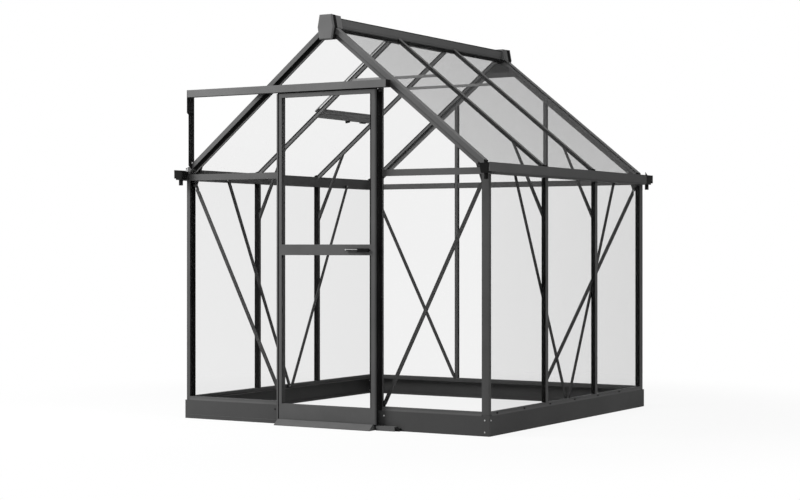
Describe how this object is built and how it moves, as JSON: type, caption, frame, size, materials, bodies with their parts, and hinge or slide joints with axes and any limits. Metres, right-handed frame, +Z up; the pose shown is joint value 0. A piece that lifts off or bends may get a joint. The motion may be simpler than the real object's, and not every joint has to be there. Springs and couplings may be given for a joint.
{
  "type": "glass greenhouse",
  "caption": "Small walk-in garden greenhouse: dark aluminium frame on a folded steel base, clear glazing, pitched roof with a vent, eave gutters and a door sliding on a track over the doorway.",
  "frame": {"origin": "on the ground, in the middle of the base frame", "axes": "+X to the right seen from the front, +Y from the door gable to the back, +Z up"},
  "size_m": [1.908, 2.041, 2.1038],
  "materials": {
    "frame_coat": "satin dark grey powder coat",
    "brace_coat": "satin dark grey coat",
    "base_coat": "matt dark grey coat on steel",
    "black_plastic": "moulded, fine matt",
    "glazing": "clear toughened glass"
  },
  "bodies": {
    "house": {"apex_plates": "brace_coat", "back_rails": "frame_coat", "base_back": "base_coat", "base_corners": "base_coat", "base_front": "base_coat", "base_sides": "base_coat", "collar_ties": "brace_coat", "corner_gussets": "brace_coat", "corner_posts": "frame_coat", "door_posts": "frame_coat", "door_track": "frame_coat", "front_rails": "frame_coat", "gable_bars_back": "frame_coat", "gable_braces": "brace_coat", "gable_rafters_back": "frame_coat", "gable_rafters_front": "frame_coat", "glass_back": "glazing", "glass_front": "glazing", "glass_left": "glazing", "glass_right": "glazing", "glass_roof_left": "glazing", "glass_roof_right": "glazing", "gutter_left": "frame_coat", "gutter_outlets": "black_plastic", "gutter_right": "frame_coat", "knee_braces": "brace_coat", "rafters_left": "frame_coat", "rafters_right": "frame_coat", "ridge_beam": "frame_coat", "ridge_cap_back": "frame_coat", "ridge_cap_front": "frame_coat", "side_braces": "brace_coat", "sills": "frame_coat", "threshold_ramp": "frame_coat", "track_supports": "brace_coat", "vent_frame": "frame_coat", "vent_glass": "glazing", "vent_sill": "frame_coat", "wall_bars_left": "frame_coat", "wall_bars_right": "frame_coat"},
    "door": {"door_stiles": "frame_coat", "door_rails": "frame_coat", "door_glass": "glazing", "door_handle": "black_plastic", "door_rollers": "black_plastic"}
  },
  "joints": [
    {"name": "door_slide", "type": "slide", "parent": "house", "child": "door", "axis": [1, 0, 0], "range_m": [-0.56, 0]}
  ]
}
